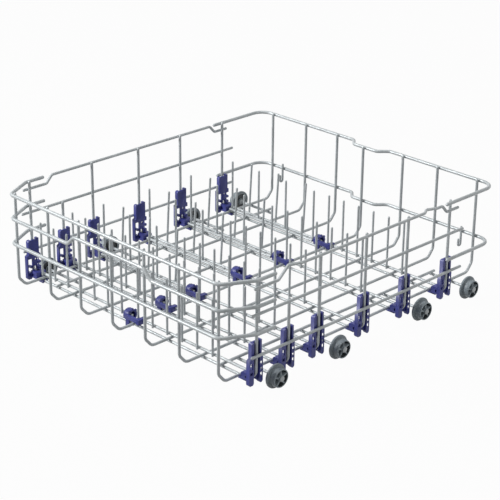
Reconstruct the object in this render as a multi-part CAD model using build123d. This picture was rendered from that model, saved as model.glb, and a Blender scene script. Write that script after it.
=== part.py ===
from build123d import *
import math
import os

# Lower basket of a dishwasher in welded wire, with folding tine racks and wheels
# X runs across the basket, Y from the front wall to the back wall, Z up from the track
# Lengths are millimetres

# Driving dimensions
basket_width = 484.0
basket_depth = 543.5
wall_height = 148.0
hoop_d = 5.4
wire_d = 4.4
rod_d = 4.4
tine_d = 3.4
tine_height = 90.0
wheel_d = 36.0
wheel_width = 13.5
clip_height = 56.5

# Flats stand in for the round of the wires and the wheels to keep the model light
wire_sides = 8
axle_sides = 12
wheel_sides = 30

# Clearances and seats
weld_sink = 0.02
tine_weld = 0.3
run_clearance = 0.05
lift_clearance = 0.35
side_clearance = 0.6

# Wire frame, worked out from the driving dimensions
hoop_r = hoop_d / 2
wire_r = wire_d / 2
rod_r = rod_d / 2
tine_r = tine_d / 2
wheel_r = wheel_d / 2
wall_x = basket_width / 2
back_y = basket_depth / 2
front_y = -back_y
axle_z = wheel_r
floor_z = axle_z + wire_d - weld_sink
top_z = floor_z + wall_height
wire_end = 1.0

inner_rib_pitch = 0.1446 * basket_width
outer_rib_x = 0.448 * basket_width
rib_xs = [
    -outer_rib_x,
    -2 * inner_rib_pitch,
    -inner_rib_pitch,
    0.0,
    inner_rib_pitch,
    2 * inner_rib_pitch,
    outer_rib_x,
]
rail_x = 0.368 * basket_width

row_shares = (-0.416, -0.303, -0.193, -0.018, 0.148, 0.323)
row_ys = [share * basket_depth for share in row_shares]

bend_rise = 3.1 * wire_d
bend_run = 2.7 * wire_d
corner_bend = 5.0 * wire_d

# Hoops and side wires
hoop_reach = wire_r + hoop_r - weld_sink
hoop_x = wall_x + hoop_reach
front_hoop_y = front_y - hoop_reach
back_hoop_y = back_y + hoop_reach
side_x = wall_x + wire_d - weld_sink
corner_run = hoop_x - outer_rib_x - 5.0
corner_depth = 0.087 * basket_depth
return_end = row_ys[0] + 0.053 * basket_depth
middle_hoop_z = floor_z + 0.743 * wall_height
lower_hoop_z = floor_z + 0.473 * wall_height
back_middle_z = floor_z + 0.385 * wall_height
side_middle_z = floor_z + 0.666 * wall_height
side_lower_z = floor_z + 0.25 * wall_height
grip_rise = 0.095 * wall_height
grip_half = 0.155 * basket_width
grip_slope = 0.03 * basket_width
recess_half = 0.05 * basket_width
recess_slope = 0.029 * basket_width
recess_depth = 0.028 * basket_depth
rim_drop = 0.078 * wall_height
rim_start = row_ys[0] - 0.014 * basket_depth
rim_rise = row_ys[0] + 0.065 * basket_depth
rim_fall = row_ys[5] - 0.045 * basket_depth
rim_end = row_ys[5] + 0.023 * basket_depth
rim_slope = 0.02 * basket_depth
rim_kink = 0.0145 * basket_width
side_wire_end = row_ys[5] + 0.05 * basket_depth

# Wheels on their stub axles
wheel_ys = [-0.357 * basket_depth, -0.125 * basket_depth, 0.206 * basket_depth, 0.412 * basket_depth]
wheel_in = wall_x + wire_r + 2 * side_clearance
tread_r = 0.78 * wheel_r
flange_width = 0.26 * wheel_width
pocket_depth = 0.6 * wheel_width
pocket_in_r = 0.28 * wheel_r
pocket_out_r = 0.66 * wheel_r
bore_r = wire_r + run_clearance
spoke_count = 5
spoke_width = 0.14 * wheel_r
collar_r = 1.7 * wire_r
collar_width = 2.0
head_r = 1.9 * wire_r
head_width = 1.6

# Folding tine racks
tine_pitch = outer_rib_x / 7
tine_offset = 0.08 * tine_pitch
rod_set = 0.9 * rod_d
rod_z = floor_z + wire_r + rod_r + lift_clearance
pair_gap = 2.1 * rod_d
tine_seat = rod_r + tine_r - tine_weld
tine_foot_z = rod_z - 0.8 * rod_r
tine_top_z = floor_z + tine_height
tine_lean = 0.055 * tine_height
paired_rows = (2, 3, 4, 5)
left_numbers = range(-7, 0)
right_numbers = range(0, 6)

# Side clips
clip_gap = 1.23 * wire_d
upper_front = 2.4 * wire_d
upper_back = 2.0 * wire_d
lower_front = 3.2 * wire_d
lower_back = 2.6 * wire_d
clip_corner = 0.4 * wire_d
slot_half = wire_r + 0.7
clip_wall = 2.6
clip_in = wall_x - wire_r + weld_sink - clip_wall
clip_out = wall_x + 0.7 * wire_r
clip_top_z = floor_z + clip_height
ear_top_z = clip_top_z + 0.3 * wire_d
step_z = floor_z + 0.56 * clip_height
cross_z = axle_z
cross_top_z = cross_z + wire_r - weld_sink
foot_half = 2.05 * wire_d
foot_in = outer_rib_x + tine_offset + tine_r + 1.4
foot_out = wall_x - bend_run - wire_r
foot_top_z = rod_z + rod_r + 2.0
eye_x = (foot_out + clip_in) / 2
eye_z = floor_z + 0.6 * wire_d
eye_d = 1.1 * wire_d
fork_in = outer_rib_x - wire_d
fork_gap = wire_r + 0.3
fork_out = fork_gap + 2.4
fork_top_z = floor_z - wire_r - 0.4
fork_low_z = cross_z - wire_r
rod_socket = rod_r + run_clearance
rod_outer = foot_out - side_clearance

# Centre clips
cup_r = 2.15 * wire_d
cup_bore_r = 1.45 * wire_d
cup_out = -5.6 * wire_d
cup_in = -3.3 * wire_d
cup_wall = 3.0
cup_sides = 12
nub_size = 0.6 * wire_d
nub_angles = (40, 85, 130)
tail_out = cup_out + wire_d
tail_in = cup_in + 0.5 * wire_d
tail_low_z = fork_low_z - wire_d
arm_half = 1.6 * wire_d
hook_in = 1.2 * wire_d
hook_out = hook_in + 1.4 * wire_d
hook_top_z = rod_z + rod_r + 2.0
arm_low_z = floor_z + wire_r + 0.5
arm_back = -tine_r - 1.2

# Hooks on the middle hoop of the back wall
hook_x = 0.398 * basket_width
hook_low_z = floor_z + 0.24 * wall_height
hook_high_z = floor_z + 0.44 * wall_height
hook_tip_z = hook_low_z + 0.07 * wall_height
hook_d = 3.6

os.makedirs("parts", exist_ok=True)


def save(shape, node):
    """Write one named piece."""
    export_step(shape, f"parts/{node}.step")


def block(x0, x1, y0, y1, z0, z1):
    """A box between two corners."""
    centre = Pos((x0 + x1) / 2, (y0 + y1) / 2, (z0 + z1) / 2)
    return centre * Box(abs(x1 - x0), abs(y1 - y0), abs(z1 - z0))


def rod_slot(x0, x1, y):
    """The square socket in a clip that a rack's rod turns in."""
    centre_y = y + rod_set
    low_z = rod_z - rod_socket
    high_z = rod_z + rod_socket
    return block(x0, x1, centre_y - rod_socket, centre_y + rod_socket, low_z, high_z)


def wire_section(diameter):
    """The eight-sided section of a wire, flats facing the axes."""
    return Rot(0, 0, 180 / wire_sides) * RegularPolygon(diameter / 2, wire_sides, major_radius=False)


def section_plane(start, along):
    """A plane across the start of a wire, turned so that crossing wires meet flat on flat."""
    across = (0, 1, 0) if abs(along.X) > 0.9 * along.length else (1, 0, 0)
    return Plane(origin=start, x_dir=across, z_dir=along)


def straight_wire(start, end, diameter):
    """A wire from one point to another."""
    span = Vector(*end) - Vector(*start)
    return extrude(section_plane(start, span) * wire_section(diameter), span.length)


def rack_rod(x0, x1, y):
    """A rod across a row, its corners on the circle that turns in the clips."""
    start = Plane(origin=(x0, y, rod_z), x_dir=(0, 1, 0), z_dir=(1, 0, 0))
    return extrude(start * RegularPolygon(rod_r, wire_sides), x1 - x0)


def bent_wire(points, diameter, bends=None):
    """A wire along corner points, folded sharp or bent to the radius given for a corner."""
    corners = [Vector(*point) for point in points]
    bends = bends or {}
    start = corners[0]
    edges = []
    for number in range(1, len(corners) - 1):
        into = (corners[number] - corners[number - 1]).normalized()
        out = (corners[number + 1] - corners[number]).normalized()
        bend = bends.get(number, 0)
        if bend:
            half_turn = math.radians(into.get_angle(out)) / 2
            arc_start = corners[number] - into * bend * math.tan(half_turn)
            arc_end = corners[number] + out * bend * math.tan(half_turn)
            inward = (out - into).normalized()
            crown = corners[number] + inward * (bend / math.cos(half_turn) - bend)
            edges.append(Line(start, arc_start))
            edges.append(ThreePointArc(arc_start, crown, arc_end))
            start = arc_end
        else:
            edges.append(Line(start, corners[number]))
            start = corners[number]
    edges.append(Line(start, corners[-1]))
    section = section_plane(corners[0], corners[1] - corners[0]) * wire_section(diameter)
    return sweep(section, path=Wire(edges), transition=Transition.RIGHT)


# Ribs from the front wall over the floor to the back wall, the middle one short of the recess
def rib(x, back):
    top = top_z + wire_end
    points = [
        (x, front_y, top),
        (x, front_y, floor_z + bend_rise),
        (x, front_y + bend_run, floor_z),
        (x, back - bend_run, floor_z),
        (x, back, floor_z + bend_rise),
        (x, back, top),
    ]
    return bent_wire(points, wire_d)


for number, x in enumerate(rib_xs, start=1):
    rib_back = back_y - recess_depth if number == 4 else back_y
    save(rib(x, rib_back), f"rib_{number}")

# Rails that carry the stub axles
for side, name in ((-1, "left"), (1, "right")):
    rail_front = (side * rail_x, row_ys[0] - wire_d, floor_z)
    rail_back = (side * rail_x, wheel_ys[3] + wire_d, floor_z)
    save(straight_wire(rail_front, rail_back, wire_d), f"axle_rail_{name}")


# Cross wires from side wall to side wall under the ribs, the second one ending lower
def cross_wire(y, top):
    points = [
        (-wall_x, y, top),
        (-wall_x, y, cross_z + bend_rise),
        (-wall_x + bend_run, y, cross_z),
        (wall_x - bend_run, y, cross_z),
        (wall_x, y, cross_z + bend_rise),
        (wall_x, y, top),
    ]
    return bent_wire(points, wire_d)


for number, y in enumerate(row_ys, start=1):
    wall_top = side_middle_z if number == 2 else top_z
    save(cross_wire(y, wall_top + wire_end), f"cross_wire_{number}")


# Front hoops with slanted corners, the middle one raised for the grip
def front_hoop(z, rise):
    half_run = hoop_x - corner_run
    corner_y = front_hoop_y + corner_depth
    left = [(-hoop_x, return_end, z), (-hoop_x, corner_y, z), (-half_run, front_hoop_y, z)]
    grip = []
    if rise:
        grip = [
            (-grip_half - grip_slope, front_hoop_y, z),
            (-grip_half, front_hoop_y, z + rise),
            (grip_half, front_hoop_y, z + rise),
            (grip_half + grip_slope, front_hoop_y, z),
        ]
    right = [(-x, y, height) for x, y, height in reversed(left)]
    return bent_wire(left + grip + right, hoop_d)


save(front_hoop(top_z, 0), "front_hoop_top")
save(front_hoop(middle_hoop_z, grip_rise), "front_hoop_middle")
save(front_hoop(lower_hoop_z, 0), "front_hoop_lower")


# Back hoops with round corners and a recess for the spray pipe
def back_hoop(z, end_y):
    recess_y = back_hoop_y - recess_depth
    left = [
        (-hoop_x, end_y, z),
        (-hoop_x, back_hoop_y, z),
        (-recess_half - recess_slope, back_hoop_y, z),
        (-recess_half, recess_y, z),
    ]
    right = [(-x, y, height) for x, y, height in reversed(left)]
    return bent_wire(left + right, hoop_d, {1: corner_bend, 6: corner_bend})


save(back_hoop(top_z, row_ys[5] - 2.5 * hoop_d), "back_hoop_top")
save(back_hoop(back_middle_z, row_ys[5] - hoop_d), "back_hoop_middle")


# Side rims with dropped ends, the right one kinked inward near both ends
def side_rim(side, kink):
    x = side * side_x
    inner = side * (side_x - kink)
    low = top_z - rim_drop
    points = [(x, rim_start, low), (x, rim_rise, low)]
    if kink:
        points += [
            (inner, rim_rise + 2.4 * rim_slope, top_z),
            (x, rim_rise + 4.2 * rim_slope, top_z),
            (x, rim_fall - 3.7 * rim_slope, top_z),
            (inner, rim_fall - 2.6 * rim_slope, top_z),
            (x, rim_fall - rim_slope, top_z),
        ]
    else:
        points += [(x, rim_rise + rim_slope, top_z)]
    points += [(x, rim_fall, top_z), (x, rim_fall + rim_slope, low), (x, rim_end, low)]
    return bent_wire(points, wire_d)


save(side_rim(-1, 0), "side_rim_left")
save(side_rim(1, rim_kink), "side_rim_right")

for side, name in ((-1, "left"), (1, "right")):
    for level, z in (("middle", side_middle_z), ("lower", side_lower_z)):
        wire_front = (side * side_x, rim_start - wire_d, z)
        wire_back = (side * side_x, side_wire_end, z)
        save(straight_wire(wire_front, wire_back, wire_d), f"side_{level}_wire_{name}")


# Small wire hooks on the middle hoop of the back wall
def back_hook(x):
    hook_r = hook_d / 2
    y = back_hoop_y - hoop_r - hook_r + weld_sink
    tip_y = y - 1.6 * hook_d
    points = [(x, y, hook_high_z), (x, y, hook_low_z), (x, tip_y, hook_low_z), (x, tip_y, hook_tip_z)]
    return bent_wire(points, hook_d)


save(Compound(children=[back_hook(-hook_x), back_hook(hook_x)]), "back_hooks")


# Stub axles under the outer rib and the rail, each with a collar inside its wheel and an upset head
def stub_axle(side, y):
    def station(x):
        return (side * x, y, axle_z)

    collar_out = wheel_in - side_clearance
    head_in = wheel_in + wheel_width + side_clearance
    collar_in = collar_out - collar_width
    axle = straight_wire(station(rail_x - 1.5 * wire_d), station(collar_in), wire_d)
    axle += straight_wire(station(collar_in), station(collar_out), 2 * collar_r)
    journal_start = Plane(origin=station(collar_out), z_dir=(side, 0, 0))
    axle += extrude(journal_start * RegularPolygon(wire_r, axle_sides), head_in - collar_out)
    return axle + straight_wire(station(head_in), station(head_in + head_width), 2 * head_r)


for side, name in ((-1, "left"), (1, "right")):
    save(Compound(children=[stub_axle(side, y) for y in wheel_ys]), f"stub_axles_{name}")


# Wheels with an inner flange, a narrower tread and pockets between the spokes
def wheel(side, y):
    body = extrude(RegularPolygon(wheel_r, wheel_sides), flange_width)
    body += extrude(RegularPolygon(tread_r, wheel_sides), wheel_width)
    body -= extrude(Circle(bore_r), wheel_width)
    half_angle = math.pi / spoke_count
    near = pocket_in_r * math.tan(half_angle) - spoke_width / 2
    far = pocket_out_r * math.tan(half_angle) - spoke_width / 2
    outline = [(pocket_in_r, -near), (pocket_out_r, -far), (pocket_out_r, far), (pocket_in_r, near)]
    pocket = extrude(make_face(Polyline(*outline, close=True)), pocket_depth)
    for turn in range(spoke_count):
        body -= Pos(0, 0, wheel_width - pocket_depth) * Rot(0, 0, turn * 360 / spoke_count) * pocket
    return Pos(side * wheel_in, y, axle_z) * Rot(0, side * 90, 0) * body


for side, name in ((-1, "left"), (1, "right")):
    for number, y in enumerate(wheel_ys, start=1):
        save(wheel(side, y), f"wheel_{name}_{number}")


# Folding racks with one rod and a row of tines on its front side
def single_rack(y, numbers, offset, rod_start, rod_end):
    hinge_y = y + rod_set
    rack = rack_rod(rod_start, rod_end, hinge_y)
    for number in numbers:
        x = number * tine_pitch + offset
        foot = (x, hinge_y - tine_seat, tine_foot_z)
        tip = (x, hinge_y - tine_seat, tine_top_z)
        rack += straight_wire(foot, tip, tine_d)
    return rack


# Folding racks with two rods, tines behind each of them in turn and a link near each end
def paired_rack(y, numbers, offset, rod_start, rod_end):
    hinge_y = y + rod_set
    front_rod_y = hinge_y - pair_gap
    tine_xs = [number * tine_pitch + offset for number in numbers]
    reach = tine_r + side_clearance
    rack = rack_rod(rod_start, rod_end, hinge_y)
    rack += rack_rod(tine_xs[0] - reach, tine_xs[-1] + reach, front_rod_y)
    for x in (tine_xs[0] + tine_pitch / 2, tine_xs[-1] - tine_pitch / 2):
        rack += straight_wire((x, front_rod_y, rod_z), (x, hinge_y, rod_z), tine_d)
    for place, x in enumerate(tine_xs):
        on_hinge = place % 2 == 1
        foot_y = (hinge_y if on_hinge else front_rod_y) + tine_seat
        tip_y = foot_y + tine_lean if on_hinge else foot_y
        rack += straight_wire((x, foot_y, tine_foot_z), (x, tip_y, tine_top_z), tine_d)
    return rack


for row, y in enumerate(row_ys):
    if row in paired_rows:
        left_rack = paired_rack(y, left_numbers, tine_offset, -rod_outer, cup_in - side_clearance)
    else:
        left_rack = single_rack(y, left_numbers, -tine_offset, -rod_outer, cup_in - side_clearance)
    save(left_rack, f"tine_rack_{row + 1}_left")
    right_rod_start = tine_offset - tine_r - side_clearance
    right_rack = single_rack(y, right_numbers, tine_offset, right_rod_start, rod_outer)
    save(right_rack, f"tine_rack_{row + 1}_right")


# Side clips, a channel on the wall wire with a forked foot that holds the rod end
def side_clip(y):
    outline = [
        (-lower_front, cross_z),
        (-lower_front + clip_corner, fork_low_z),
        (-clip_gap - clip_corner, fork_low_z),
        (-clip_gap, cross_z),
        (-clip_gap, cross_top_z),
        (clip_gap, cross_top_z),
        (clip_gap, cross_z),
        (clip_gap + clip_corner, fork_low_z),
        (lower_back - clip_corner, fork_low_z),
        (lower_back, cross_z),
        (lower_back, step_z),
        (upper_back, step_z + clip_corner),
        (upper_back, ear_top_z),
        (clip_gap, ear_top_z),
        (clip_gap, clip_top_z),
        (-upper_front + clip_corner, clip_top_z),
        (-upper_front, clip_top_z - clip_corner),
        (-upper_front, step_z + clip_corner),
        (-lower_front, step_z),
    ]
    web_out = clip_in + clip_wall
    inner_face = Plane(origin=(clip_in, y, 0), x_dir=(0, 1, 0), z_dir=(1, 0, 0))
    clip = extrude(inner_face * make_face(Polyline(*outline, close=True)), clip_out - clip_in)
    clip -= block(web_out, clip_out, y - clip_gap, y + clip_gap, cross_top_z, clip_top_z)
    clip -= block(clip_in, web_out, y - slot_half, y + slot_half, cross_top_z, cross_z + 1.3 * bend_rise)
    for hand in (-1, 1):
        cheek = (y + hand * slot_half, y + hand * foot_half)
        prong = (y + hand * fork_gap, y + hand * fork_out)
        clip += block(foot_out, clip_in, *cheek, cross_top_z, foot_top_z)
        eye = [(eye_x, y_at, eye_z) for y_at in cheek]
        clip -= straight_wire(*eye, eye_d)
        clip += block(fork_in, foot_out, *prong, fork_low_z, fork_top_z)
        clip += block(foot_in, foot_out, *prong, fork_low_z, cross_top_z)
    foot_profile = [
        (foot_in, cross_top_z),
        (foot_out, cross_top_z),
        (foot_out, foot_top_z),
        (foot_in + 1.0, foot_top_z - 0.8),
        (foot_in, foot_top_z - 2.0),
    ]
    side_view = Plane(origin=(0, y + foot_half, 0), x_dir=(1, 0, 0), z_dir=(0, -1, 0))
    clip += extrude(side_view * make_face(Polyline(*foot_profile, close=True)), 2 * foot_half)
    clip -= rod_slot(foot_in, foot_out, y)
    for hole_y, hole_z in ((0.5, 0.43), (1.9, 0.37), (1.9, 0.13)):
        inner = (clip_in, y + hole_y * wire_d, floor_z + hole_z * clip_height)
        outer = (clip_out, y + hole_y * wire_d, floor_z + hole_z * clip_height)
        clip -= straight_wire(inner, outer, 0.8 * wire_d)
    window = (y - 2.75 * wire_d, y - 1.75 * wire_d)
    for window_low, window_high in ((0.16, 0.24), (0.31, 0.47)):
        low = floor_z + window_low * clip_height
        high = floor_z + window_high * clip_height
        clip -= block(clip_in, clip_out, *window, low, high)
    return clip


right_clips = [side_clip(y) for y in row_ys]
save(Compound(children=right_clips), "side_clips_right")
save(Compound(children=[mirror(clip, about=Plane.YZ) for clip in right_clips]), "side_clips_left")


# Centre clips, a cup around the left rod on the cross wire with an arm and a hook for the right rod
def centre_clip(y):
    axis = Pos(0, y + rod_set, rod_z)
    cup_back = Plane(origin=(cup_out, y + rod_set, rod_z), x_dir=(0, 1, 0), z_dir=(1, 0, 0))
    clip = extrude(cup_back * RegularPolygon(cup_r, cup_sides), cup_in - cup_out)
    for angle in nub_angles:
        rim = axis * Rot(angle, 0, 0) * Pos(cup_in - nub_size / 2, cup_r, 0)
        clip += rim * Box(nub_size, nub_size, nub_size)
    clip -= extrude(cup_back.offset(cup_wall) * RegularPolygon(cup_bore_r, cup_sides), cup_in - cup_out)
    for hand in (-1, 1):
        prong = (y + hand * fork_gap, y + hand * fork_out)
        clip += block(tail_out, tail_in, *prong, tail_low_z, rod_z - cup_bore_r / 2)
    clip -= block(cup_out, cup_in, y - fork_gap, y + fork_gap, tail_low_z, cross_top_z)
    clip += block(cup_in - nub_size, hook_out, y - arm_half, y + arm_back, arm_low_z, hook_top_z)
    clip += block(hook_in, hook_out, y - arm_half, y + arm_half, arm_low_z - 2.0, hook_top_z)
    clip -= rod_slot(cup_out, cup_out + cup_wall, y)
    clip -= rod_slot(hook_in, hook_out, y)
    return clip


save(Compound(children=[centre_clip(y) for y in row_ys]), "centre_clips")
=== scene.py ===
# %% [markdown]
# # A dishwasher's lower basket
# The basket is a cage of coated steel wire on plastic wheels. Rows of tines stand on rods
# that turn in plastic clips, so each row can be folded down. The solids of the part are loaded
# first. They are the fixed frame, and every piece below is laid on them in the same metres.

# %% Load the solids
import math
import bmesh
import bpy
from mathutils import Matrix, Vector


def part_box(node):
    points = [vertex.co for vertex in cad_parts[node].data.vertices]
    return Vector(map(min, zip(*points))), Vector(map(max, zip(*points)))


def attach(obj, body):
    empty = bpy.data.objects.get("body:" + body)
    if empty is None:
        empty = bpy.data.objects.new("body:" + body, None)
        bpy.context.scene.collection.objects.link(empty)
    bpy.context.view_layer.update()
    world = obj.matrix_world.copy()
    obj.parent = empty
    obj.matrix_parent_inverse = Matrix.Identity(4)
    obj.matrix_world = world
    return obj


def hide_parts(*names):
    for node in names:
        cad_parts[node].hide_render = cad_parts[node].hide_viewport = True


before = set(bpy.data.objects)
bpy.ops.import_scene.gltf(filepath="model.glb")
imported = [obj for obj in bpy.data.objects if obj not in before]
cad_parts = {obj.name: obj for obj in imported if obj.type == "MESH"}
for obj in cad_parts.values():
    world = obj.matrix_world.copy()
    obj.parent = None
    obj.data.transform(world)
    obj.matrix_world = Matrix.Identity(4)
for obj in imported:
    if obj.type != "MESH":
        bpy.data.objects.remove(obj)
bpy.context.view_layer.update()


# %% [markdown]
# ## Finishes
# A finish could be painted as a picture, but that needs a UV map and blurs up close. Here it is
# a small node tree: noise textures drive the inputs of a Principled shader. All patterns read
# Object coordinates, so they stay put on the piece and have one scale everywhere. Noise mostly
# lies between 0.3 and 0.7, so that span is spread over the wanted range.

# %% Helpers for finishes
noise_span = (0.3, 0.7)


def add(tree, kind, inputs=None, **settings):
    """Adds a node. Each input takes a plain value or the output of another node."""
    node = tree.nodes.new(kind)
    for label, value in settings.items():
        setattr(node, label, value)
    for label, source in (inputs or {}).items():
        if hasattr(source, "is_output"):
            tree.links.new(source, node.inputs[label])
        else:
            node.inputs[label].default_value = source
    return node


def new_finish(name, roughness, metallic=0.0, specular=0.5):
    finish = bpy.data.materials.new(name)
    finish.use_nodes = True
    shader = finish.node_tree.nodes["Principled BSDF"]
    shader.inputs["Roughness"].default_value = roughness
    shader.inputs["Metallic"].default_value = metallic
    shader.inputs["Specular IOR Level"].default_value = specular
    return finish, finish.node_tree, shader


def noise(tree, place, scale, detail=3.0):
    texture = add(tree, "ShaderNodeTexNoise", {"Vector": place, "Scale": scale, "Detail": detail})
    return texture.outputs["Fac"]


def ramp(tree, value, colours, span=noise_span):
    band = add(tree, "ShaderNodeValToRGB", {"Fac": value})
    for stop, position, colour in zip(band.color_ramp.elements, span, colours):
        stop.position = position
        stop.color = (*colour, 1.0)
    return band.outputs["Color"]


print("noise is spread from", noise_span)


# %% [markdown]
# The wire, the clips and the wheels differ in colour and scale, but their surfaces are built up
# alike: slow changes of tone, fine specks over them, an uneven gloss and a shallow relief. One
# function makes all of them, and each call below names its own sizes. The wire is steel dipped
# in a silver-grey nylon, with fine bright flakes and a faint orange peel.

# %% Coated wire
def speckled_finish(name, tone_scale, tones, speck_scale, speck_detail, speck_levels, speck_span,
                    gloss_scale, roughness, bump_scale, bump_detail, bump_depth, bump_strength,
                    metallic=0.0, specular=0.5):
    finish, tree, shader = new_finish(name, sum(roughness) / 2, metallic, specular)
    place = add(tree, "ShaderNodeTexCoord").outputs["Object"]
    slow = ramp(tree, noise(tree, place, tone_scale), tones)
    greys = [(level, level, level) for level in speck_levels]
    fine = ramp(tree, noise(tree, place, speck_scale, speck_detail), greys, speck_span)
    tone = add(tree, "ShaderNodeMix", {"Factor": 1.0, "A": slow, "B": fine},
               data_type="RGBA", blend_type="MULTIPLY")
    gloss = add(tree, "ShaderNodeMapRange", {
        "Value": noise(tree, place, gloss_scale), "From Min": noise_span[0],
        "From Max": noise_span[1], "To Min": roughness[0], "To Max": roughness[1]})
    bump = add(tree, "ShaderNodeBump", {
        "Height": noise(tree, place, bump_scale, bump_detail),
        "Distance": bump_depth, "Strength": bump_strength})
    tree.links.new(tone.outputs["Result"], shader.inputs["Base Color"])
    tree.links.new(gloss.outputs["Result"], shader.inputs["Roughness"])
    tree.links.new(bump.outputs["Normal"], shader.inputs["Normal"])
    return finish


wire_finish = speckled_finish(
    "coated wire", metallic=0.1, specular=0.4,
    tone_scale=38.0, tones=((0.50, 0.54, 0.556), (0.63, 0.668, 0.684)),
    speck_scale=1900.0, speck_detail=1.0, speck_levels=(0.86, 1.0), speck_span=(0.35, 0.65),
    gloss_scale=150.0, roughness=(0.25, 0.36),
    bump_scale=420.0, bump_detail=2.0, bump_depth=0.0004, bump_strength=0.12)
print("finish:", wire_finish.name)


# %% [markdown]
# The clips are moulded in indigo plastic with a fine spark-eroded grain. The wheels are a dark
# grey plastic, a little paler where dry water marks and wear lie on the surface. Their spokes
# and the outer edge of the rim are made paler still as a painted highlight, and the recesses are
# made dark as painted shade, so the same finish is made in three tones. The three stand on the
# faces of one mesh, which is simpler than a mask in one finish.

# %% Moulded plastics
clip_finish = speckled_finish(
    "indigo clip plastic",
    tone_scale=60.0, tones=((0.027, 0.033, 0.208), (0.048, 0.058, 0.305)),
    speck_scale=2600.0, speck_detail=1.0, speck_levels=(0.85, 1.0), speck_span=noise_span,
    gloss_scale=220.0, roughness=(0.34, 0.5),
    bump_scale=1800.0, bump_detail=1.0, bump_depth=0.0002, bump_strength=0.1)

dark_grey = Vector((0.62, 0.74, 0.82))
pale_grey = Vector((0.86, 1.0, 1.08))


def wheel_plastic(name, level):
    return speckled_finish(
        name, tone_scale=90.0, tones=(dark_grey * level, pale_grey * level),
        speck_scale=420.0, speck_detail=4.0, speck_levels=(1.0, 1.35), speck_span=(0.5, 0.8),
        gloss_scale=300.0, roughness=(0.34, 0.52),
        bump_scale=1500.0, bump_detail=1.0, bump_depth=0.0002, bump_strength=0.12)


wheel_finish = wheel_plastic("grey wheel plastic", 0.3)
# The paler tone is a painted highlight for the spokes and the outer edge of the rim.
painted_highlight_finish = wheel_plastic("wheel plastic with painted highlight", 0.42)
# The dark tone is painted shade for the recesses.
painted_shade_finish = wheel_plastic("wheel plastic with painted shade", 0.05)
for finish in (clip_finish, wheel_finish, painted_highlight_finish, painted_shade_finish):
    print("finish:", finish.name)


# %% [markdown]
# ## Bent wires
# A wire is a centre line with a round section. It could be modelled as a curve with a bevel, but
# then each corner would need its own handles. Here a tree of Geometry Nodes takes plain corner
# points and does the rest. First come helpers that start a tree and close it. Every tree ends
# alike: its parts are joined, copies are made real, and the finish is set.

# %% Helpers that build a tree
def new_tree(name, sizes):
    tree = bpy.data.node_groups.new(name, "GeometryNodeTree")
    tree.interface.new_socket("Geometry", in_out="INPUT", socket_type="NodeSocketGeometry")
    for label, kind in sizes:
        tree.interface.new_socket(label, in_out="INPUT", socket_type="NodeSocket" + kind)
    tree.interface.new_socket("Geometry", in_out="OUTPUT", socket_type="NodeSocketGeometry")
    return tree, tree.nodes.new("NodeGroupInput"), tree.nodes.new("NodeGroupOutput")


def join(tree, parts):
    joined = tree.nodes.new("GeometryNodeJoinGeometry")
    for part in parts:
        tree.links.new(part, joined.inputs["Geometry"])
    return joined.outputs["Geometry"]


def finish_tree(tree, group_in, group_out, parts):
    solid = add(tree, "GeometryNodeRealizeInstances", {"Geometry": join(tree, parts)})
    smooth = add(tree, "GeometryNodeSetShadeSmooth", {"Geometry": solid.outputs["Geometry"]})
    painted = add(tree, "GeometryNodeSetMaterial", {
        "Geometry": smooth.outputs["Geometry"], "Material": group_in.outputs["Finish"]})
    tree.links.new(painted.outputs["Geometry"], group_out.inputs["Geometry"])


print("node trees of Blender", bpy.app.version_string)


# %% [markdown]
# A tree runs as a modifier on a small seed object. It could stay there, but a piece that is handed
# on is simpler as a plain mesh. So the result is copied out, and the modifier and the seed are
# gone before the piece is used. Sizes are set by the identifier of a socket, because two sockets
# may have one name.

# %% Helpers that run a tree
def put_in_scene(name, data):
    thing = bpy.data.objects.new(name, data)
    bpy.context.scene.collection.objects.link(thing)
    return thing


def plain_mesh(thing):
    """What an object's modifiers make of its mesh."""
    depsgraph = bpy.context.evaluated_depsgraph_get()
    return bpy.data.meshes.new_from_object(thing.evaluated_get(depsgraph), depsgraph=depsgraph)


def grow(name, tree, sizes, mesh=None):
    """Runs a tree on a mesh and returns the result as a plain object at the origin."""
    seed = put_in_scene(name + "_seed", mesh or bpy.data.meshes.new(name + "_seed"))
    modifier = seed.modifiers.new("tree", "NODES")
    modifier.node_group = tree
    for item in tree.interface.items_tree:
        if item.in_out == "INPUT" and item.name in sizes:
            modifier[item.identifier] = sizes[item.name]
    seed.update_tag()
    grown = plain_mesh(seed)
    grown.name = name
    seed.modifiers.remove(modifier)
    bpy.data.objects.remove(seed)
    return put_in_scene(name, grown)


# %% [markdown]
# The tree follows the way a wire is made. A line runs from corner to corner, each corner is
# rounded by its own bend radius, and a circle is swept along the result. Both ends get a dome,
# because the dip coating gathers there. A sphere on each end point gives that with two nodes.

# %% The tree for bent wires
bend_steps = 7
wire_sides = 20
dome_segments, dome_rings = 16, 8


def circle(tree, sides, radius):
    ring = add(tree, "GeometryNodeCurvePrimitiveCircle", {"Resolution": sides, "Radius": radius})
    return ring.outputs["Curve"]


def ball(tree, segments, rings, radius):
    sphere = add(tree, "GeometryNodeMeshUVSphere", {
        "Segments": segments, "Rings": rings, "Radius": radius})
    return sphere.outputs["Mesh"]


def sweep(tree, line, section):
    bar = add(tree, "GeometryNodeCurveToMesh", {
        "Curve": line, "Profile Curve": section, "Fill Caps": True})
    return bar.outputs["Mesh"]


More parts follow.
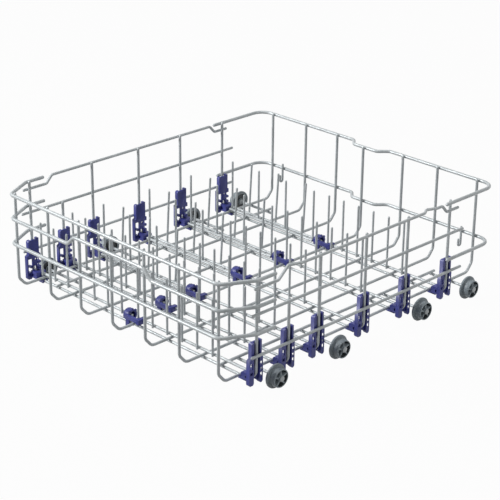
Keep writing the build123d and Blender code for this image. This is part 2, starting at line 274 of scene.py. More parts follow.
def bent_wire_tree():
    tree, group_in, group_out = new_tree("Bent wire", [
        ("Wire radius", "Float"), ("Bend steps", "Int"), ("Sides", "Int"), ("Finish", "Material")])
    size = group_in.outputs
    lines = add(tree, "GeometryNodeMeshToCurve", {"Mesh": size["Geometry"]})
    bend = add(tree, "GeometryNodeInputNamedAttribute", {"Name": "bend"}, data_type="FLOAT")
    rounded = add(tree, "GeometryNodeFilletCurve", {
        "Curve": lines.outputs["Curve"], "Count": size["Bend steps"],
        "Radius": bend.outputs["Attribute"], "Limit Radius": True}, mode="POLY").outputs["Curve"]
    skin = sweep(tree, rounded, circle(tree, size["Sides"], size["Wire radius"]))
    ends = add(tree, "GeometryNodeCurveEndpointSelection", {"Start Size": 1, "End Size": 1})
    domes = add(tree, "GeometryNodeInstanceOnPoints", {
        "Points": rounded, "Selection": ends.outputs["Selection"],
        "Instance": ball(tree, dome_segments, dome_rings, size["Wire radius"])})
    finish_tree(tree, group_in, group_out, [skin, domes.outputs["Instances"]])
    return tree


wire_tree = bent_wire_tree()
print(wire_tree.name, "tree, nodes:", len(wire_tree.nodes))


# %% [markdown]
# The tree needs a mesh of edges with a bend radius at each corner, kept in an attribute that it
# reads by name. A corner is written as (x, y, z), or with its own bend as a fourth number. The
# finished piece then hides the solids it stands for and goes with the body it moves with; its
# material is set by the tree.

# %% Helpers that lay wires
def centre_lines(name, wires, bend):
    mesh = bpy.data.meshes.new(name)
    points = []
    edges = []
    radii = []
    for wire in wires:
        first = len(points)
        for corner in wire:
            points.append(corner[:3])
            radii.append(corner[3] if len(corner) > 3 else bend)
        edges += [(index, index + 1) for index in range(first, len(points) - 1)]
    mesh.from_pydata(points, edges, [])
    store = mesh.attributes.new("bend", "FLOAT", "POINT")
    store.data.foreach_set("value", radii)
    return mesh


def hand_over(piece, nodes, body):
    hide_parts(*nodes)
    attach(piece, body)


def lay_wires(name, wires, radius, bend, nodes):
    sizes = {"Wire radius": radius, "Bend steps": bend_steps, "Sides": wire_sides,
             "Finish": wire_finish}
    piece = grow(name, wire_tree, sizes, centre_lines(name + "_lines", wires, bend))
    hand_over(piece, nodes, "basket")
    print(name, "wires:", len(wires), "faces:", len(piece.data.polygons))


print("wires have", wire_sides, "sides and", bend_steps, "steps to a bend")

# %% [markdown]
# ## Ribs and cross wires
# Seven ribs run from the front wall over the floor to the back wall. Six cross wires lie under
# them and run up the side walls. Each corner of a real one is bent in two steps, which leaves a
# short slanted run. The boxes of the solids give where each wire lies, so only the bends are
# written here.

# %% Ribs and cross wires
wire_r = 0.0022
bend_rise = 0.01364
bend_run = 0.01188
floor_bend = 0.011


def rib_line(node):
    low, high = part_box(node)
    x = (low[0] + high[0]) / 2
    front, back = low[1] + wire_r, high[1] - wire_r
    floor = low[2] + wire_r
    return [
        (x, front, high[2]), (x, front, floor + bend_rise), (x, front + bend_run, floor),
        (x, back - bend_run, floor), (x, back, floor + bend_rise), (x, back, high[2])]


def cross_line(node):
    low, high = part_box(node)
    y = (low[1] + high[1]) / 2
    left, right = low[0] + wire_r, high[0] - wire_r
    under = low[2] + wire_r
    return [
        (left, y, high[2]), (left, y, under + bend_rise), (left + bend_run, y, under),
        (right - bend_run, y, under), (right, y, under + bend_rise), (right, y, high[2])]


rib_nodes = [f"rib_{number}" for number in range(1, 8)]
cross_nodes = [f"cross_wire_{number}" for number in range(1, 7)]
cross_lines = [cross_line(node) for node in cross_nodes]
lay_wires("ribs", [rib_line(node) for node in rib_nodes], wire_r, floor_bend, rib_nodes)
lay_wires("cross_wires", cross_lines, wire_r, floor_bend, cross_nodes)

# %% [markdown]
# ## Hoops
# Thicker hoops tie the ribs together. The front ones have slanted corners, and the middle one
# rises to a grip. The back ones have round corners and a recess for the water pipe. Both are the
# same left and right, so the left half of the line is written and mirrored.

# %% Hoops
hoop_r = 0.0027
hoop_bend = 0.012
corner_run = 0.02505
corner_depth = 0.04728
grip_half = 0.07502
grip_slope = 0.01452
grip_rise = 0.01406
recess_half = 0.0242
recess_slope = 0.01404
recess_depth = 0.01522
recess_bend = 0.009
back_corner_bend = 0.022


def front_hoop_line(node, grip):
    low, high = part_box(node)
    side = high[0] - hoop_r
    front = low[1] + hoop_r
    z = low[2] + hoop_r
    left = [(-side, high[1], z), (-side, front + corner_depth, z), (corner_run - side, front, z)]
    if grip:
        left += [(-grip_half - grip_slope, front, z), (-grip_half, front, z + grip_rise)]
    return left + [(-x, y, height) for x, y, height in reversed(left)]


def back_hoop_line(node):
    low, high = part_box(node)
    side = high[0] - hoop_r
    back = high[1] - hoop_r
    z = low[2] + hoop_r
    left = [
        (-side, low[1], z, 0), (-side, back, z, back_corner_bend),
        (-recess_half - recess_slope, back, z, recess_bend),
        (-recess_half, back - recess_depth, z, recess_bend)]
    return left + [(-x, y, height, bend) for x, y, height, bend in reversed(left)]


front_nodes = ["front_hoop_top", "front_hoop_middle", "front_hoop_lower"]
back_nodes = ["back_hoop_top", "back_hoop_middle"]
front_lines = [front_hoop_line(node, node == "front_hoop_middle") for node in front_nodes]
back_lines = [back_hoop_line(node) for node in back_nodes]
lay_wires("front_hoops", front_lines, hoop_r, hoop_bend, front_nodes)
lay_wires("back_hoops", back_lines, hoop_r, hoop_bend, back_nodes)

# %% [markdown]
# ## Side wires
# Thin wires close the sides. The rim on top drops at both ends to meet the hoops, and the right
# one is also nipped inward near both ends. The nips are placed in lengths of the slope, counted
# from where the rim rises in front and where it falls at the back, as a maker would set the bends.

# %% Rims
rim_bend = 0.006
rim_slope = 0.01087
rim_rise_run = 0.04294
rim_fall_run = 0.03696
rim_kink = 0.00702
front_nip_in, front_nip_out = 2.4 * rim_slope, 4.2 * rim_slope
back_nip_in, back_nip_out = 2.6 * rim_slope, 3.7 * rim_slope


def rim_line(node, side, nipped):
    low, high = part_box(node)
    x = side * (max(abs(low[0]), abs(high[0])) - wire_r)
    inner = x - side * rim_kink
    bottom, top = low[2] + wire_r, high[2] - wire_r
    rise, fall = low[1] + rim_rise_run, high[1] - rim_fall_run
    line = [(x, low[1], bottom), (x, rise, bottom)]
    if nipped:
        line += [
            (inner, rise + front_nip_in, top), (x, rise + front_nip_out, top),
            (x, fall - back_nip_out, top), (inner, fall - back_nip_in, top),
            (x, fall - rim_slope, top)]
    else:
        line += [(x, rise + rim_slope, top)]
    return line + [(x, fall, top), (x, fall + rim_slope, bottom), (x, high[1], bottom)]


rims = [rim_line("side_rim_left", -1, False), rim_line("side_rim_right", 1, True)]
lay_wires("side_rims", rims, wire_r, rim_bend, ["side_rim_left", "side_rim_right"])


# %% [markdown]
# The wires below the rim and the two rails that carry the axles are straight. A stretched cylinder
# would do, but the same tree gives them the same section and domed ends, and the box of each
# solid says all that it needs.

# %% Straight wires
def straight_line(node):
    low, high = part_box(node)
    x, z = (low[0] + high[0]) / 2, (low[2] + high[2]) / 2
    return [(x, low[1], z), (x, high[1], z)]


side_nodes = [
    "side_middle_wire_left", "side_middle_wire_right",
    "side_lower_wire_left", "side_lower_wire_right"]
rail_nodes = ["axle_rail_left", "axle_rail_right"]
lay_wires("side_wires", [straight_line(node) for node in side_nodes], wire_r, 0, side_nodes)
lay_wires("axle_rails", [straight_line(node) for node in rail_nodes], wire_r, 0, rail_nodes)

# %% [markdown]
# ## Hooks
# Two small hooks of thinner wire hang on the back wall. Each goes down, forward and up again to
# a short tip. They are bent wires like the rest, and one box holds both.

# %% Hooks
hook_r = 0.0018
hook_bend = 0.0027
hook_tip = 0.01036

low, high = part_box("back_hooks")
hook_back, hook_front = high[1] - hook_r, low[1] + hook_r
hook_floor = low[2] + hook_r
hook_lines = []
for x in (low[0] + hook_r, high[0] - hook_r):
    hook_lines.append([
        (x, hook_back, high[2]), (x, hook_back, hook_floor),
        (x, hook_front, hook_floor), (x, hook_front, hook_floor + hook_tip)])
lay_wires("wall_hooks", hook_lines, hook_r, hook_bend, ["back_hooks"])

# %% [markdown]
# ## Folding tine racks
# A rack is a rod with tines welded to it at an even pitch. Four of the left racks have a second
# rod in front of the first. There the tines stand behind the two rods in turn, and those on the
# back rod lean back a little. All of that is a rule, so one tree makes every rack from its sizes.
# A tree works out its own sums, and these helpers add a sum, a vector or a straight bar in one
# line.

# %% Helpers for sums and bars
def vector(tree, **parts):
    return add(tree, "ShaderNodeCombineXYZ", parts).outputs["Vector"]


def maths(tree, operation, *numbers):
    node = add(tree, "ShaderNodeMath", dict(enumerate(numbers)), operation=operation)
    return node.outputs["Value"]


def bar_to(tree, end, section):
    """A straight bar from the origin."""
    line = add(tree, "GeometryNodeCurvePrimitiveLine", {"End": end})
    return sweep(tree, line.outputs["Curve"], section)


print("trees so far:", [group.name for group in bpy.data.node_groups])


# %% [markdown]
# A tine is a straight bar with a domed tip. It is made once and set on each point of a line, where
# every other point is moved back by the pair step. The leaning tines are turned about X and
# stretched to keep their tips level. Bent wires would give the same, but a count and a pitch say
# it shorter.

# %% Tines of a rack
tine_sides = 16


def tine_shape(tree, size, section):
    tip = vector(tree, Z=size["Tine length"])
    stem = bar_to(tree, tip, section)
    cap = add(tree, "GeometryNodeTransform", {
        "Geometry": ball(tree, dome_segments, dome_rings, size["Tine radius"]),
        "Translation": tip})
    return join(tree, [stem, cap.outputs["Geometry"]])


def tine_feet(tree, size, every_other):
    feet = add(tree, "GeometryNodeMeshLine", {
        "Count": size["Tine count"], "Start Location": size["First tine"],
        "Offset": vector(tree, X=size["Pitch"])}, mode="OFFSET")
    shift = maths(tree, "MULTIPLY", every_other, size["Pair step"])
    stands = add(tree, "GeometryNodeSetPosition", {
        "Geometry": feet.outputs["Mesh"], "Offset": vector(tree, Y=shift)})
    return stands.outputs["Geometry"]


def stand_tines(tree, size, feet, every_other, section):
    angle = maths(tree, "MULTIPLY", every_other, size["Lean"])
    turn = add(tree, "FunctionNodeEulerToRotation", {
        "Euler": vector(tree, X=maths(tree, "MULTIPLY", angle, -1.0))})
    stretch = maths(tree, "DIVIDE", 1.0, maths(tree, "COSINE", angle))
    tines = add(tree, "GeometryNodeInstanceOnPoints", {
        "Points": feet, "Instance": tine_shape(tree, size, section),
        "Rotation": turn.outputs["Rotation"], "Scale": vector(tree, X=1.0, Y=1.0, Z=stretch)})
    return tines.outputs["Instances"]


print("a tine has", tine_sides, "sides")


# %% [markdown]
# Where a tine is welded to its rod, the coating leaves a small bead. A flattened sphere between
# the two is enough. The second rod and the two short links to it are built for every rack, and a
# Switch lets them through only for a pair, so that one tree serves both kinds.

# %% Beads, rods and links
bead_segments, bead_rings = 12, 6
bead_stretch = (1.25, 0.7, 0.9)
link_count = 2


def weld_beads(tree, size, feet):
    seats = add(tree, "GeometryNodeSetPosition", {"Geometry": feet, "Offset": size["Bead step"]})
    beads = add(tree, "GeometryNodeInstanceOnPoints", {
        "Points": seats.outputs["Geometry"], "Scale": bead_stretch,
        "Instance": ball(tree, bead_segments, bead_rings, size["Tine radius"])})
    return beads.outputs["Instances"]


def rod_between(tree, size, start, end):
    line = add(tree, "GeometryNodeCurvePrimitiveLine", {"Start": size[start], "End": size[end]})
    return sweep(tree, line.outputs["Curve"], circle(tree, wire_sides, size["Rod radius"]))


def second_rod(tree, size, section):
    spots = add(tree, "GeometryNodeMeshLine", {
        "Count": link_count, "Start Location": size["First link"],
        "Offset": size["Link step"]}, mode="OFFSET")
    links = add(tree, "GeometryNodeInstanceOnPoints", {
        "Points": spots.outputs["Mesh"],
        "Instance": bar_to(tree, vector(tree, Y=size["Pair step"]), section)})
    rod = rod_between(tree, size, "Front rod start", "Front rod end")
    pair = join(tree, [rod, links.outputs["Instances"]])
    chosen = add(tree, "GeometryNodeSwitch", {"Switch": size["Paired"], "True": pair},
                 input_type="GEOMETRY")
    return chosen.outputs["Output"]


print("a bead has", bead_segments, "segments, a pair of rods", link_count, "links")


# %% [markdown]
# The tree puts these parts together. Its inputs are named for what a maker would measure on a
# rack, so the cell after it can fill them in from the box of each solid.

# %% The tree for racks
def rack_tree():
    tree, group_in, group_out = new_tree("Tine rack", [
        ("First tine", "Vector"), ("Tine count", "Int"), ("Pitch", "Float"),
        ("Tine length", "Float"), ("Tine radius", "Float"), ("Lean", "Float"),
        ("Rod start", "Vector"), ("Rod end", "Vector"), ("Rod radius", "Float"),
        ("Front rod start", "Vector"), ("Front rod end", "Vector"), ("Paired", "Bool"),
        ("Pair step", "Float"), ("First link", "Vector"), ("Link step", "Vector"),
        ("Bead step", "Vector"), ("Finish", "Material")])
    size = group_in.outputs
    section = circle(tree, tine_sides, size["Tine radius"])
    index = add(tree, "GeometryNodeInputIndex").outputs["Index"]
    every_other = maths(tree, "MODULO", index, 2.0)
    feet = tine_feet(tree, size, every_other)
    finish_tree(tree, group_in, group_out, [
        stand_tines(tree, size, feet, every_other, section), weld_beads(tree, size, feet),
        rod_between(tree, size, "Rod start", "Rod end"), second_rod(tree, size, section)])
    return tree


racks = rack_tree()
print(racks.name, "tree, nodes:", len(racks.nodes))

# %% [markdown]
# Twelve racks come from the tree, six rows on each side. A left rack has seven tines and a right
# one six, which leaves a bay free beside the right wall. Each rack is a piece of its own, because
# it folds on its own hinge.

# %% Racks
tine_r = 0.0017
rod_r = 0.0022
basket_width = 0.484
outer_rib_x = 0.448 * basket_width
pitches_to_outer_rib = 7
tine_pitch = outer_rib_x / pitches_to_outer_rib
tine_offset = 0.08 * tine_pitch
tine_lean = 0.00495
tine_seat = 0.0036
foot_share = 0.2
lean_trim = 0.0001
pair_gap = 0.00924
rod_overhang = 0.0006
first_paired_row = 3
row_count = 6
first_tine_and_count = {"left": (-7, 7), "right": (0, 6)}


def lay_rack(row, side):
    node = f"tine_rack_{row}_{side}"
    low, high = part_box(node)
    paired = side == "left" and row >= first_paired_row
    first, count = first_tine_and_count[side]
    offset = tine_offset if paired or side == "right" else -tine_offset
    first_x = first * tine_pitch + offset
    last_x = first_x + (count - 1) * tine_pitch
    front_rod_y = low[1] + rod_r
    hinge_y = front_rod_y + pair_gap if paired else high[1] - rod_r
    seat = tine_seat if paired else -tine_seat
    first_y = (front_rod_y if paired else hinge_y) + seat
    rod_z = low[2] + rod_r
    foot_z = low[2] + foot_share * rod_r
    length = high[2] - tine_r - foot_z - (lean_trim if paired else 0)
    reach = tine_r + rod_overhang
    piece = grow(f"rack_{row}_{side}_wires", racks, {
        "First tine": (first_x, first_y, foot_z), "Tine count": count, "Pitch": tine_pitch,
        "Tine length": length, "Tine radius": tine_r,
        "Lean": math.atan2(tine_lean, length) if paired else 0.0,
        "Rod start": (low[0], hinge_y, rod_z), "Rod end": (high[0], hinge_y, rod_z),
        "Rod radius": rod_r,
        "Front rod start": (first_x - reach, front_rod_y, rod_z),
        "Front rod end": (last_x + reach, front_rod_y, rod_z),
        "Paired": paired, "Pair step": pair_gap if paired else 0.0,
        "First link": (first_x + tine_pitch / 2, front_rod_y, rod_z),
        "Link step": (last_x - first_x - tine_pitch, 0, 0),
        "Bead step": (0, -seat / 2, rod_z - foot_z), "Finish": wire_finish})
    hand_over(piece, [node], f"rack_{row}_{side}")
    return len(piece.data.polygons)


side_signs = {"left": -1, "right": 1}
for side_name in side_signs:
    faces = [lay_rack(row, side_name) for row in range(1, row_count + 1)]
    print(side_name, "rack faces:", faces)

# %% [markdown]
# ## Turned parts
# Wheels, collars and axle heads are round about the axle. A Screw modifier could turn them, but
# it leaves a seam to merge. Here a closed half section is spun about X in even steps, and the
# last step meets the first. Points of a section are (radius, distance along the axle) in
# millimetres, from the inner side outward.

# %% Helpers for turned parts
mm_per_metre = 1000
merge_gap = 1e-6
sharp_angle = math.radians(35)


def turn_section(bm, section, steps, centre, side):
    rings = []
    for step in range(steps):
        angle = 2 * math.pi * step / steps
        ring = []
        for radius, along in section:
            spot = Vector((side * along, radius * math.cos(angle), radius * math.sin(angle)))
            ring.append(bm.verts.new(Vector(centre) + spot / mm_per_metre))
        rings.append(ring)
    for step in range(steps):
        here, there = rings[step], rings[(step + 1) % steps]
        for index in range(len(section)):
            after = (index + 1) % len(section)
            bm.faces.new((here[index], there[index], there[after], here[after]))


def to_object(name, bm):
    mesh = bpy.data.meshes.new(name)
    bm.to_mesh(mesh)
    bm.free()
    return put_in_scene(name, mesh)


def to_piece(bm, name, finishes, body, nodes):
    bmesh.ops.remove_doubles(bm, verts=bm.verts, dist=merge_gap)
    bmesh.ops.recalc_face_normals(bm, faces=bm.faces)
    piece = to_object(name, bm)
    mesh = piece.data
    mesh.polygons.foreach_set("use_smooth", [True] * len(mesh.polygons))
    mesh.set_sharp_from_angle(angle=sharp_angle)
    for finish in finishes:
        mesh.materials.append(finish)
    hand_over(piece, nodes, body)
    return piece


print("edges stay sharp over", round(math.degrees(sharp_angle)), "degrees")


# %% [markdown]
# ## Wheels
# A wheel has a flange on its inner side, which keeps it on its rail, a narrower tread, and a deep
# recess in its outer face with spokes between hub and rim. The inner face is cored out too, but
# less deep. The body is turned. A spoke is a tapered block with a chamfered top, set around the
# hub in even steps, with its ends sunk in hub and rim.

# %% Spokes
spoke_count = 5
spoke_levels = ((5.2, 1.35), (11.9, 1.1), (12.3, 0.8))
spoke_start, spoke_end = 4.6, 12.0
spoke_corners = ((spoke_start, -1), (spoke_start, 1), (spoke_end, 1), (spoke_end, -1))


def add_spokes(bm, centre, side):
    for number in range(spoke_count):
        spin = Matrix.Rotation(2 * math.pi * number / spoke_count + math.pi / 2, 4, "X")
        rings = []
        for along, half in spoke_levels:
            spots = [spin @ Vector((side * along, radius, hand * half))
                     for radius, hand in spoke_corners]
            rings.append([bm.verts.new(Vector(centre) + spot / mm_per_metre) for spot in spots])
        for lower, upper in zip(rings, rings[1:]):
            for index in range(len(lower)):
                before = index - 1
                bm.faces.new((lower[before], lower[index], upper[index], upper[before]))
        bm.faces.new(rings[0])
        bm.faces.new(rings[-1])


print("spokes in a wheel:", spoke_count)

# %% [markdown]
# The section starts at the bore, goes out over the cored inner face, around the flange and the
# tread, and comes back through the deep recess to the hub. Each face then gets its tone from
# where it lies: painted shade in a recess, a painted highlight on the outer edge, and plain
# elsewhere.

# %% Section and tones of a wheel
inner_face = [
    (2.3, 0.3), (4.9, 0.0), (5.4, 0.3), (5.7, 2.4), (6.1, 2.8), (12.4, 2.8), (12.8, 2.4),
    (13.0, 0.3), (13.5, 0.0)]
flange = [
    (16.8, 0.0), (17.6, 0.25), (18.0, 0.9), (18.0, 2.6), (17.6, 3.25), (16.8, 3.5), (14.6, 3.6)]
tread = [(14.1, 4.1), (14.0, 4.9), (13.9, 9.0), (13.7, 12.4), (13.4, 13.1), (12.8, 13.5)]
outer_recess = [
    (12.2, 13.4), (11.9, 12.9), (11.6, 6.2), (11.2, 5.6), (5.8, 5.4), (5.3, 5.8), (5.1, 12.4),
    (4.8, 12.9), (2.3, 13.0)]
wheel_section = inner_face + flange + tread + outer_recess
wheel_steps = 72
# From here outward the wheel's faces get a painted highlight.
painted_highlight_from = 12.6
# Faces within these radii and depths lie in a recess and get painted shade.
painted_shade_radii = (5.35, 13.2)
painted_shade_depths = ((0.1, 3.0), (5.0, painted_highlight_from))
wheel_coats = [wheel_finish, painted_highlight_finish, painted_shade_finish]
painted_highlight_coat, painted_shade_coat = 1, 2


def paint_wheel(bm, centre, side):
    for face in bm.faces:
        spot = (face.calc_center_median() - Vector(centre)) * mm_per_metre
        along, radius = side * spot.x, math.hypot(spot.y, spot.z)
        sunk = any(start < along < end for start, end in painted_shade_depths)
        # Painted shade in a recess, a painted highlight on the outer edge.
        if sunk and painted_shade_radii[0] < radius < painted_shade_radii[1]:
            face.material_index = painted_shade_coat
        elif along > painted_highlight_from:
            face.material_index = painted_highlight_coat


print("points in the wheel's section:", len(wheel_section))


# %% [markdown]
# Eight wheels stand along the sides, four on each. A wheel is a piece of its own, because it turns
# on its own axle. Its centre is kept for the axle that goes through it.

# %% Wheels
wheels_on_a_side = 4


def lay_wheel(number, side_name):
    side = side_signs[side_name]
    node = f"wheel_{side_name}_{number}"
    low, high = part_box(node)
    inner_x = high[0] if side < 0 else low[0]
    centre = (inner_x, (low[1] + high[1]) / 2, (low[2] + high[2]) / 2)
    bm = bmesh.new()
    turn_section(bm, wheel_section, wheel_steps, centre, side)
    paint_wheel(bm, centre, side)
    turned = set(bm.faces)
    add_spokes(bm, centre, side)
    # The spokes get the paler tone as a painted highlight.
    for face in set(bm.faces) - turned:
        face.material_index = painted_highlight_coat
    to_piece(bm, node + "_moulding", wheel_coats, f"roller_{side_name}_{number}", [node])
    return centre


wheel_centres = {}
for side_name in side_signs:
    numbers = range(1, wheels_on_a_side + 1)
    wheel_centres[side_name] = [lay_wheel(number, side_name) for number in numbers]
    print(side_name, "wheels at y:", [round(centre[1], 4) for centre in wheel_centres[side_name]])

# %% [markdown]
# ## Stub axles
# Each wheel turns on a short length of the same wire. A collar keeps the wheel off the basket and
# the outer end is upset into a low head. The three are turned as one section, written in three
# runs: the tip from the inner end, the collar from its own outer face, the head from the outer
# end.

# %% Stub axles
axle_steps = 28
wheel_gap = 0.6
sliver = 1e-7
axle_tip = [(0.0, 0.0), (1.5, 0.0), (2.2, 0.7)]
axle_collar = [(2.2, -2.0), (3.34, -2.0), (3.74, -1.6), (3.74, -0.4), (3.34, 0.0), (2.2, 0.0)]
axle_head = [
    (2.2, -1.6), (3.88, -1.6), (4.18, -1.2), (3.8874, -0.6), (2.926, -0.15), (0.0, 0.0)]


def lay_axles(side_name):
    node = f"stub_axles_{side_name}"
    low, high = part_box(node)
    reach = sorted(abs(x) * mm_per_metre for x in (low[0], high[0]))
    bm = bmesh.new()
    for x, y, z in wheel_centres[side_name]:
        collar_out = abs(x) * mm_per_metre - wheel_gap
        runs = ((axle_tip, reach[0]), (axle_collar, collar_out), (axle_head, reach[1]))
        section = [(radius, start + along) for run, start in runs for radius, along in run]
        turn_section(bm, section, axle_steps, (0.0, y, z), side_signs[side_name])
    bmesh.ops.dissolve_degenerate(bm, edges=bm.edges, dist=sliver)
    piece = to_piece(bm, f"axle_pins_{side_name}", [wire_finish], "basket", [node])
    print(piece.name, "faces:", len(piece.data.polygons))


for side_name in side_signs:
    lay_axles(side_name)

# %% [markdown]
# ## Clips
# The solids of the clips have the right shape, but a moulding is cored out to save plastic and
# has no sharp edges. Modelling it anew would lose the fit, so a copy of each solid is dressed. It
# is merged back into whole faces, windows are cut with a Boolean, and the edges are rounded by a
# bevel so that they catch the light.

# %% A helper for mouldings
solid_gap = 2e-6
flat_angle = math.radians(1.0)
edge_angle = math.radians(40)
edge_round = 0.0003
edge_segments = 2


def mould(node, name, cutter):
    bm = bmesh.new()
    bm.from_mesh(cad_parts[node].data)
    bmesh.ops.remove_doubles(bm, verts=bm.verts, dist=solid_gap)
    bmesh.ops.dissolve_limit(bm, angle_limit=flat_angle, verts=bm.verts, edges=bm.edges)
    blank = to_object(name + "_blank", bm)
    if cutter:
        cored = blank.modifiers.new("cored", "BOOLEAN")
        cored.operation = "DIFFERENCE"
        cored.solver = "EXACT"
        cored.use_self = True
        cored.object = cutter
    bevel = blank.modifiers.new("bevel", "BEVEL")
    bevel.width = edge_round
    bevel.segments = edge_segments
    bevel.limit_method = "ANGLE"
    bevel.angle_limit = edge_angle
    rounded = plain_mesh(blank)
    bpy.data.objects.remove(blank)
    if cutter:
        bpy.data.objects.remove(cutter)
    bm = bmesh.new()
    bm.from_mesh(rounded)
    return to_piece(bm, name, [clip_finish], "basket", [node])


print("edges of mouldings are rounded by", edge_round, "m")


# %% [markdown]
# A side clip has two columns with a web between them. The windows reach through the columns and
# turn a corner inside, which leaves a thin post. Each is cut by two boxes: an opening and a
# pocket beside it. Spans are in millimetres: across the wall, along it from the clip's row, and
# up from the floor wires. The two walls are cored from different sides, so some spans are given
# for each.

# %% Windows of the side clips
clip_in, web_out, clip_out = 237.22, 239.82, 243.54
floor_z = 22.38
past_face = 1.0
outer_skin = 1.2
back_windows = ((2.5, 8.0), (11.0, 16.0), (19.5, 25.5))
front_windows = ((4.0, 11.0), (15.0, 26.5))
back_opening = {-1: (4.9, 10.2), 1: (6.6, 10.2)}
back_pocket = (9.0, 12.5)
front_opening = (-12.0, -4.4)
front_opening_out = {-1: clip_out + past_face, 1: clip_out - outer_skin}
front_pocket = {-1: (-12.0, -4.0), 1: (-8.5, -4.0)}


def add_box(bm, side, row_y, x_span, y_span, z_span):
    middle = Vector((side * sum(x_span) / 2, row_y + sum(y_span) / 2, floor_z + sum(z_span) / 2))
    size = [(span[1] - span[0]) / mm_per_metre for span in (x_span, y_span, z_span)]
    place = Matrix.Translation(middle / mm_per_metre) @ Matrix.Diagonal((*size, 1.0))
    bmesh.ops.create_cube(bm, size=1.0, matrix=place)


def window_cutter(side):
    bm = bmesh.new()
    inside = clip_in - past_face
    for node in cross_nodes:
        low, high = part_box(node)
        row_y = (low[1] + high[1]) / 2 * mm_per_metre
        for z_span in back_windows:
            add_box(bm, side, row_y, (inside, clip_out + past_face), back_opening[side], z_span)
            add_box(bm, side, row_y, (inside, clip_out - outer_skin), back_pocket, z_span)
        for z_span in front_windows:
            opening_x = (web_out, front_opening_out[side])
            add_box(bm, side, row_y, opening_x, front_opening, z_span)
            add_box(bm, side, row_y, (inside, web_out + past_face), front_pocket[side], z_span)
    return to_object("window_cutter", bm)


print("windows in a side clip:", len(back_windows) + len(front_windows))

# %% [markdown]
# The two rows of side clips get windows. The centre clips are small and solid, so they are only
# rounded.

# %% Clips
mouldings = [
    mould("side_clips_left", "clips_left", window_cutter(-1)),
    mould("side_clips_right", "clips_right", window_cutter(1)),
    mould("centre_clips", "clips_middle", None)]
for piece in mouldings:
    print(piece.name, "faces:", len(piece.data.polygons))

# %% [markdown]
# ## Floor and world
# The basket stands on a plain white floor. A floor that bright would throw its light back on the
# wires and wash them out. So it is white only where the camera or a reflection sees it, which
# Light Path tells, and grey for all other light. It keeps a little of its own shading, so that
# the shadow shows.

# %% Floor
floor_half = 30.0
floor_grey = 0.35
floor_white_share = 0.97


def seen_directly(tree):
    """1 where the camera sees a surface, also by reflection or through a clear piece."""
    rays = add(tree, "ShaderNodeLightPath").outputs
    mirrored = maths(tree, "MAXIMUM", rays["Is Camera Ray"], rays["Is Glossy Ray"])
    return maths(tree, "MAXIMUM", mirrored, rays["Is Transmission Ray"])


def pale_floor():
    mesh = bpy.data.meshes.new("floor")
    corners = [(-1, -1), (1, -1), (1, 1), (-1, 1)]
    mesh.from_pydata([(x * floor_half, y * floor_half, 0) for x, y in corners], [], [(0, 1, 2, 3)])
    floor = put_in_scene("floor", mesh)
    finish, tree, shader = new_finish("white floor", roughness=0.9, specular=0.0)
    shader.inputs["Base Color"].default_value = (floor_grey, floor_grey, floor_grey, 1.0)
    glow = add(tree, "ShaderNodeEmission")
    seen = maths(tree, "MULTIPLY", seen_directly(tree), floor_white_share)
    mix = add(tree, "ShaderNodeMixShader", {
        "Fac": seen, 1: shader.outputs["BSDF"], 2: glow.outputs["Emission"]})
    tree.links.new(mix.outputs["Shader"], tree.nodes["Material Output"].inputs["Surface"])
    mesh.materials.append(finish)


pale_floor()
print("floor grey:", floor_grey)


# %% [markdown]
# The world is treated in the same way: white to the camera and in reflections, and a weak even
# light on the basket. A picture of a room could light it too, but would add colours of its own.

# %% World
world_light = 0.15


def white_world():
    world = bpy.data.worlds.new("studio")
    bpy.context.scene.world = world
    world.use_nodes = True
    tree = world.node_tree
    sky = tree.nodes["Background"]
    level = add(tree, "ShaderNodeMapRange", {
        "Value": seen_directly(tree), "To Min": world_light, "To Max": 1.0})
    tree.links.new(level.outputs["Result"], sky.inputs["Strength"])
    sky.inputs["Color"].default_value = (1.0, 1.0, 1.0, 1.0)


white_world()
print("world light:", world_light)


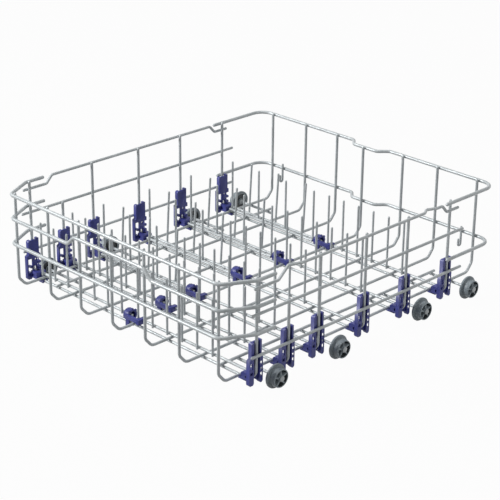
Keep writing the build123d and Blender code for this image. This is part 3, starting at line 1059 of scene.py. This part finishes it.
# %% [markdown]
# ## Lamps
# The main lamp shines from the front left. It lights the wires that run from left to right and
# leaves those that run to the back darker, which makes thin wires stand out from a white ground.
# Two weak lamps, overhead and on the right, lift the rest a little. Disks of some size give soft
# edges to the shadows.

# %% Lamps
def area_lamp(name, place, aim, size, power):
    lamp = bpy.data.lights.new(name, "AREA")
    lamp.shape = "DISK"
    lamp.size = size
    lamp.energy = power
    holder = put_in_scene(name, lamp)
    holder.location = place
    holder.rotation_euler = (Vector(aim) - Vector(place)).to_track_quat("-Z", "Y").to_euler()
    print(name, "power:", power)


area_lamp("main lamp", place=(-1.65, -1.8, 1.5), aim=(0, 0, 0.05), size=0.7, power=66.0)
area_lamp("overhead lamp", place=(-0.3, 0.1, 2.2), aim=(0, 0, 0.05), size=1.3, power=13.0)
area_lamp("side lamp", place=(2.3, 0.5, 1.2), aim=(0, 0, 0.08), size=1.0, power=10.0)

# %% [markdown]
# ## Camera
# The camera stands where the photograph was taken, with a long lens. It could be aimed at a point
# by a constraint. Here its three axes are worked out from azimuth, elevation and roll, so that it
# is turned exactly as the fit to the wires gave.

# %% Camera
azimuth = math.radians(44.9546)
elevation = math.radians(23.1756)
roll = math.radians(0.6177)
eye = Vector((1.5664, -1.5666, 1.01748))
focal_pixels = 1584.61
picture_pixels = 500
sensor_mm = 36.0
far_end = 100.0

outward = Vector((math.sin(azimuth), -math.cos(azimuth), 0.0))
back = outward * math.cos(elevation) + Vector((0.0, 0.0, math.sin(elevation)))
level_right = Vector((math.cos(azimuth), math.sin(azimuth), 0.0))
level_up = back.cross(level_right)
right = level_right * math.cos(roll) + level_up * math.sin(roll)
up = level_up * math.cos(roll) - level_right * math.sin(roll)

lens = bpy.data.cameras.new("camera")
lens.sensor_width = sensor_mm
lens.sensor_height = sensor_mm
lens.sensor_fit = "AUTO"
lens.lens = focal_pixels / picture_pixels * sensor_mm
lens.clip_end = far_end
camera = put_in_scene("camera", lens)
turn = Matrix((right, up, back)).transposed().to_4x4()
camera.matrix_world = Matrix.Translation(eye) @ turn
bpy.context.scene.camera = camera
bpy.context.scene.view_settings.view_transform = "Standard"
print("lens:", round(lens.lens, 2), "mm, distance:", round(eye.length, 3), "m")
